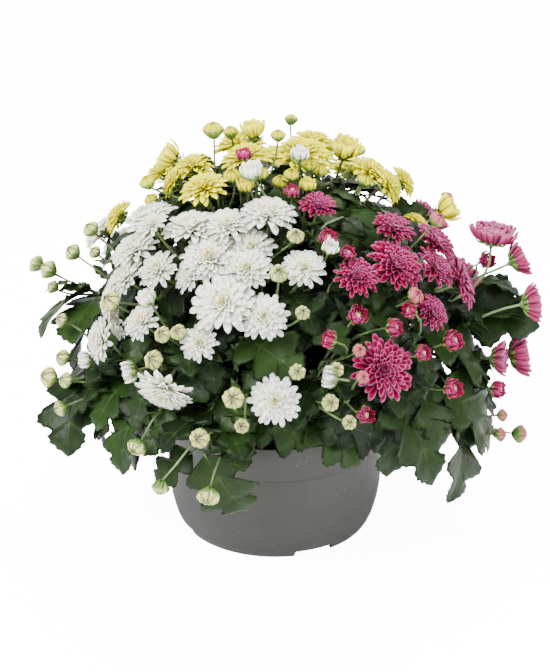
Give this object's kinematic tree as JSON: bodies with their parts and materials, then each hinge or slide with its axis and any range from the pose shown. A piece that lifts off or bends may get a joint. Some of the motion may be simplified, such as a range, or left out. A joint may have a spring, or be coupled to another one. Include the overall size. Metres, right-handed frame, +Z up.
{
  "type": "pot chrysanthemum",
  "caption": "Pot chrysanthemum in flower: white, magenta and yellow blooms in a dome over lobed leaves, in a grey plastic bowl pot.",
  "frame": {"origin": "on the pot's axis, on the surface that the pot stands on", "axes": "+Z up, and the side that the picture shows faces -Y"},
  "size_m": [0.4485, 0.409, 0.3692],
  "materials": {
    "pot_plastic": "matte",
    "potting_soil": "matte",
    "leaf_green": "satin",
    "white_petal": "matte",
    "magenta_petal": "matte",
    "yellow_petal": "matte"
  },
  "bodies": {
    "root": {"magenta_bloom_01": "magenta_petal", "magenta_bloom_02": "magenta_petal", "magenta_bloom_03": "magenta_petal", "magenta_bloom_04": "magenta_petal", "magenta_bloom_05": "magenta_petal", "magenta_bloom_06": "magenta_petal", "magenta_bloom_07": "magenta_petal", "magenta_bloom_08": "magenta_petal", "magenta_bloom_09": "magenta_petal", "magenta_bloom_10": "magenta_petal", "magenta_bloom_11": "magenta_petal", "magenta_bloom_12": "magenta_petal", "magenta_bloom_13": "magenta_petal", "magenta_bloom_14": "magenta_petal", "magenta_bloom_15": "magenta_petal", "magenta_bloom_16": "magenta_petal", "magenta_plant": "leaf_green", "pot": "pot_plastic", "soil": "potting_soil", "white_bloom_01": "white_petal", "white_bloom_02": "white_petal", "white_bloom_03": "white_petal", "white_bloom_04": "white_petal", "white_bloom_05": "white_petal", "white_bloom_06": "white_petal", "white_bloom_07": "white_petal", "white_bloom_08": "white_petal", "white_bloom_09": "white_petal", "white_bloom_10": "white_petal", "white_bloom_11": "white_petal", "white_bloom_12": "white_petal", "white_bloom_13": "white_petal", "white_bloom_14": "white_petal", "white_bloom_15": "white_petal", "white_bloom_16": "white_petal", "white_plant": "leaf_green", "yellow_bloom_01": "yellow_petal", "yellow_bloom_02": "yellow_petal", "yellow_bloom_03": "yellow_petal", "yellow_bloom_04": "yellow_petal", "yellow_bloom_05": "yellow_petal", "yellow_bloom_06": "yellow_petal", "yellow_bloom_07": "yellow_petal", "yellow_bloom_08": "yellow_petal", "yellow_bloom_09": "yellow_petal", "yellow_bloom_10": "yellow_petal", "yellow_bloom_11": "yellow_petal", "yellow_bloom_12": "yellow_petal", "yellow_bloom_13": "yellow_petal", "yellow_bloom_14": "yellow_petal", "yellow_bloom_15": "yellow_petal", "yellow_bloom_16": "yellow_petal", "yellow_bloom_17": "yellow_petal", "yellow_bloom_18": "yellow_petal", "yellow_bloom_19": "yellow_petal", "yellow_bloom_20": "yellow_petal", "yellow_bloom_21": "yellow_petal", "yellow_bloom_22": "yellow_petal", "yellow_bloom_23": "yellow_petal", "yellow_plant": "leaf_green"}
  },
  "joints": []
}
